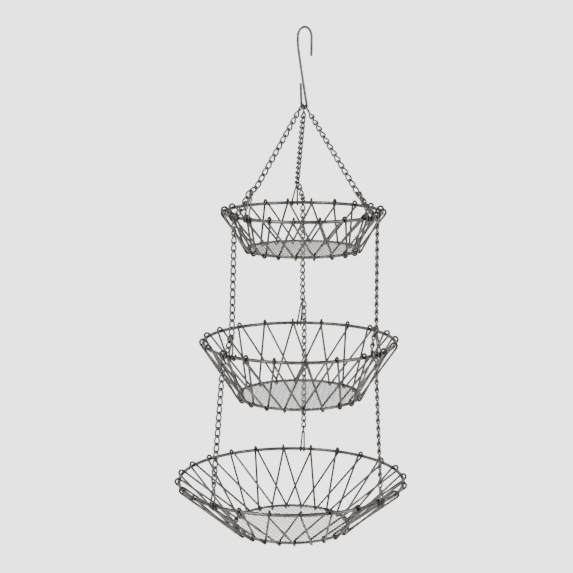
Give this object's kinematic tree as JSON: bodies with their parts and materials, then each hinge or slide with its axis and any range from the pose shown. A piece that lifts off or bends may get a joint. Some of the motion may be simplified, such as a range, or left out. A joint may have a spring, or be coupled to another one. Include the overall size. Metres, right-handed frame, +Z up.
{
  "type": "hanging wire produce basket",
  "caption": "Tiered hanging wire produce basket: round lattice baskets of rising size on link chains, under an S-shaped hook.",
  "frame": {"origin": "the hanging point: the underside of the wire at the top of the S-hook's upper arch", "axes": "+Z up, +X to the right seen from the front, +Y to the back, where the rear chain is"},
  "size_m": [0.3133, 0.3185, 0.6732],
  "materials": {
    "hook_steel": "pewter-toned steel wire, satin",
    "rim_steel": "pewter-toned steel wire, satin",
    "lattice_steel": "pewter-toned steel wire, satin",
    "chain_steel": "pewter-toned steel links, satin",
    "floor_mesh_steel": "fine woven wire cloth, brighter than the frame"
  },
  "bodies": {
    "hook": {"s_hook": "hook_steel"},
    "end_links": {"end_link_rear": "chain_steel", "end_link_left": "chain_steel", "end_link_right": "chain_steel"},
    "top_tier": {"chain_rear_upper": "chain_steel", "chain_left_upper": "chain_steel", "chain_right_upper": "chain_steel", "top_rim": "rim_steel", "top_base_ring": "rim_steel", "top_lattice_wire_a": "lattice_steel", "top_lattice_wire_b": "lattice_steel", "top_floor_mesh": "floor_mesh_steel", "chain_rear_over_top_rim": "chain_steel", "chain_left_over_top_rim": "chain_steel", "chain_right_over_top_rim": "chain_steel"},
    "top_hanger_rear": {"top_hanger_rear": "lattice_steel"},
    "top_hanger_left": {"top_hanger_left": "lattice_steel"},
    "top_hanger_right": {"top_hanger_right": "lattice_steel"},
    "chain_rear_middle": {"chain_rear_middle": "chain_steel"},
    "chain_left_middle": {"chain_left_middle": "chain_steel"},
    "chain_right_middle": {"chain_right_middle": "chain_steel"},
    "middle_tier": {"middle_rim": "rim_steel", "middle_base_ring": "rim_steel", "middle_lattice_wire_a": "lattice_steel", "middle_lattice_wire_b": "lattice_steel", "middle_floor_mesh": "floor_mesh_steel", "chain_rear_over_middle_rim": "chain_steel", "chain_left_over_middle_rim": "chain_steel", "chain_right_over_middle_rim": "chain_steel"},
    "middle_hanger_rear": {"middle_hanger_rear": "lattice_steel"},
    "middle_hanger_left": {"middle_hanger_left": "lattice_steel"},
    "middle_hanger_right": {"middle_hanger_right": "lattice_steel"},
    "chain_rear_lower": {"chain_rear_lower": "chain_steel"},
    "chain_left_lower": {"chain_left_lower": "chain_steel"},
    "chain_right_lower": {"chain_right_lower": "chain_steel"},
    "bottom_tier": {"bottom_rim": "rim_steel", "bottom_base_ring": "rim_steel", "bottom_lattice_wire_a": "lattice_steel", "bottom_lattice_wire_b": "lattice_steel", "bottom_floor_mesh": "floor_mesh_steel"},
    "bottom_hanger_rear": {"bottom_hanger_rear": "lattice_steel"},
    "bottom_hanger_left": {"bottom_hanger_left": "lattice_steel"},
    "bottom_hanger_right": {"bottom_hanger_right": "lattice_steel"}
  },
  "joints": [
    {"name": "swing_sideways", "type": "hinge", "parent": "hook", "child": "end_links", "pos_m": [-0.0016, 0, -0.0996], "axis": [0, 1, 0], "range_deg": [-8, 8]},
    {"name": "swing_fore_and_aft", "type": "hinge", "parent": "end_links", "child": "top_tier", "pos_m": [-0.0016, 0, -0.108], "axis": [1, 0, 0], "range_deg": [-10, 10]},
    {"name": "top_hanger_rear_pivot", "type": "hinge", "parent": "top_tier", "child": "top_hanger_rear", "pos_m": [-0.01257, 0.10352, -0.2384], "axis": [-0.9954, -0.0958, 0], "range_deg": [-4, 4]},
    {"name": "top_hanger_left_pivot", "type": "hinge", "parent": "top_tier", "child": "top_hanger_left", "pos_m": [-0.07353, -0.07606, -0.2384], "axis": [0.7314, -0.682, 0], "range_deg": [-4, 4]},
    {"name": "top_hanger_right_pivot", "type": "hinge", "parent": "top_tier", "child": "top_hanger_right", "pos_m": [0.08046, -0.06259, -0.2384], "axis": [0.6018, 0.7986, 0], "range_deg": [-4, 4]},
    {"name": "middle_chain_rear_sway", "type": "hinge", "parent": "top_tier", "child": "chain_rear_middle", "pos_m": [-0.00164, 0.1104, -0.2424], "axis": [0, 1, 0], "range_deg": [-8, 8]},
    {"name": "middle_chain_left_sway", "type": "hinge", "parent": "top_tier", "child": "chain_left_middle", "pos_m": [-0.09192, -0.06489, -0.2424], "axis": [0, 1, 0], "range_deg": [-8, 8]},
    {"name": "middle_chain_right_sway", "type": "hinge", "parent": "top_tier", "child": "chain_right_middle", "pos_m": [0.09243, -0.0562, -0.2424], "axis": [0, 1, 0], "range_deg": [-8, 8]},
    {"name": "middle_tier_levelling", "type": "hinge", "parent": "chain_rear_middle", "child": "middle_tier", "pos_m": [-0.00133, 0.13395, -0.3786], "axis": [0, 1, 0], "range_deg": [-8, 8]},
    {"name": "middle_hanger_rear_pivot", "type": "hinge", "parent": "middle_tier", "child": "middle_hanger_rear", "pos_m": [-0.00638, 0.128, -0.4126], "axis": [-1, 0.0087, 0], "range_deg": [-4, 4]},
    {"name": "middle_hanger_left_pivot", "type": "hinge", "parent": "middle_tier", "child": "middle_hanger_left", "pos_m": [-0.09381, -0.09452, -0.4126], "axis": [0.7385, -0.6743, 0], "range_deg": [-4, 4]},
    {"name": "middle_hanger_right_pivot", "type": "hinge", "parent": "middle_tier", "child": "middle_hanger_right", "pos_m": [0.09197, -0.08055, -0.4126], "axis": [0.6293, 0.7771, 0], "range_deg": [-4, 4]},
    {"name": "lower_chain_rear_sway", "type": "hinge", "parent": "middle_tier", "child": "chain_rear_lower", "pos_m": [0.00117, 0.13412, -0.4166], "axis": [0, 1, 0], "range_deg": [-8, 8]},
    {"name": "lower_chain_left_sway", "type": "hinge", "parent": "middle_tier", "child": "chain_left_lower", "pos_m": [-0.10643, -0.09097, -0.4166], "axis": [0, 1, 0], "range_deg": [-8, 8]},
    {"name": "lower_chain_right_sway", "type": "hinge", "parent": "middle_tier", "child": "chain_right_lower", "pos_m": [0.08983, -0.09268, -0.4166], "axis": [0, 1, 0], "range_deg": [-8, 8]},
    {"name": "bottom_tier_levelling", "type": "hinge", "parent": "chain_rear_lower", "child": "bottom_tier", "pos_m": [0.00091, 0.15886, -0.5718], "axis": [0, 1, 0], "range_deg": [-8, 8]},
    {"name": "bottom_hanger_rear_pivot", "type": "hinge", "parent": "bottom_tier", "child": "bottom_hanger_rear", "pos_m": [-0.00099, 0.15102, -0.6038], "axis": [-0.9936, 0.1132, 0], "range_deg": [-4, 4]},
    {"name": "bottom_hanger_left_pivot", "type": "hinge", "parent": "bottom_tier", "child": "bottom_hanger_left", "pos_m": [-0.11792, -0.11472, -0.6038], "axis": [0.7547, -0.6561, 0], "range_deg": [-4, 4]},
    {"name": "bottom_hanger_right_pivot", "type": "hinge", "parent": "bottom_tier", "child": "bottom_hanger_right", "pos_m": [0.09652, -0.09972, -0.6038], "axis": [0.6561, 0.7547, 0], "range_deg": [-4, 4]}
  ],
  "couplings": [
    {"joint": "middle_chain_left_sway", "follows": "middle_chain_rear_sway", "ratio": 1},
    {"joint": "middle_chain_right_sway", "follows": "middle_chain_rear_sway", "ratio": 1},
    {"joint": "middle_tier_levelling", "follows": "middle_chain_rear_sway", "ratio": -1},
    {"joint": "lower_chain_left_sway", "follows": "lower_chain_rear_sway", "ratio": 1},
    {"joint": "lower_chain_right_sway", "follows": "lower_chain_rear_sway", "ratio": 1},
    {"joint": "bottom_tier_levelling", "follows": "lower_chain_rear_sway", "ratio": -1}
  ]
}
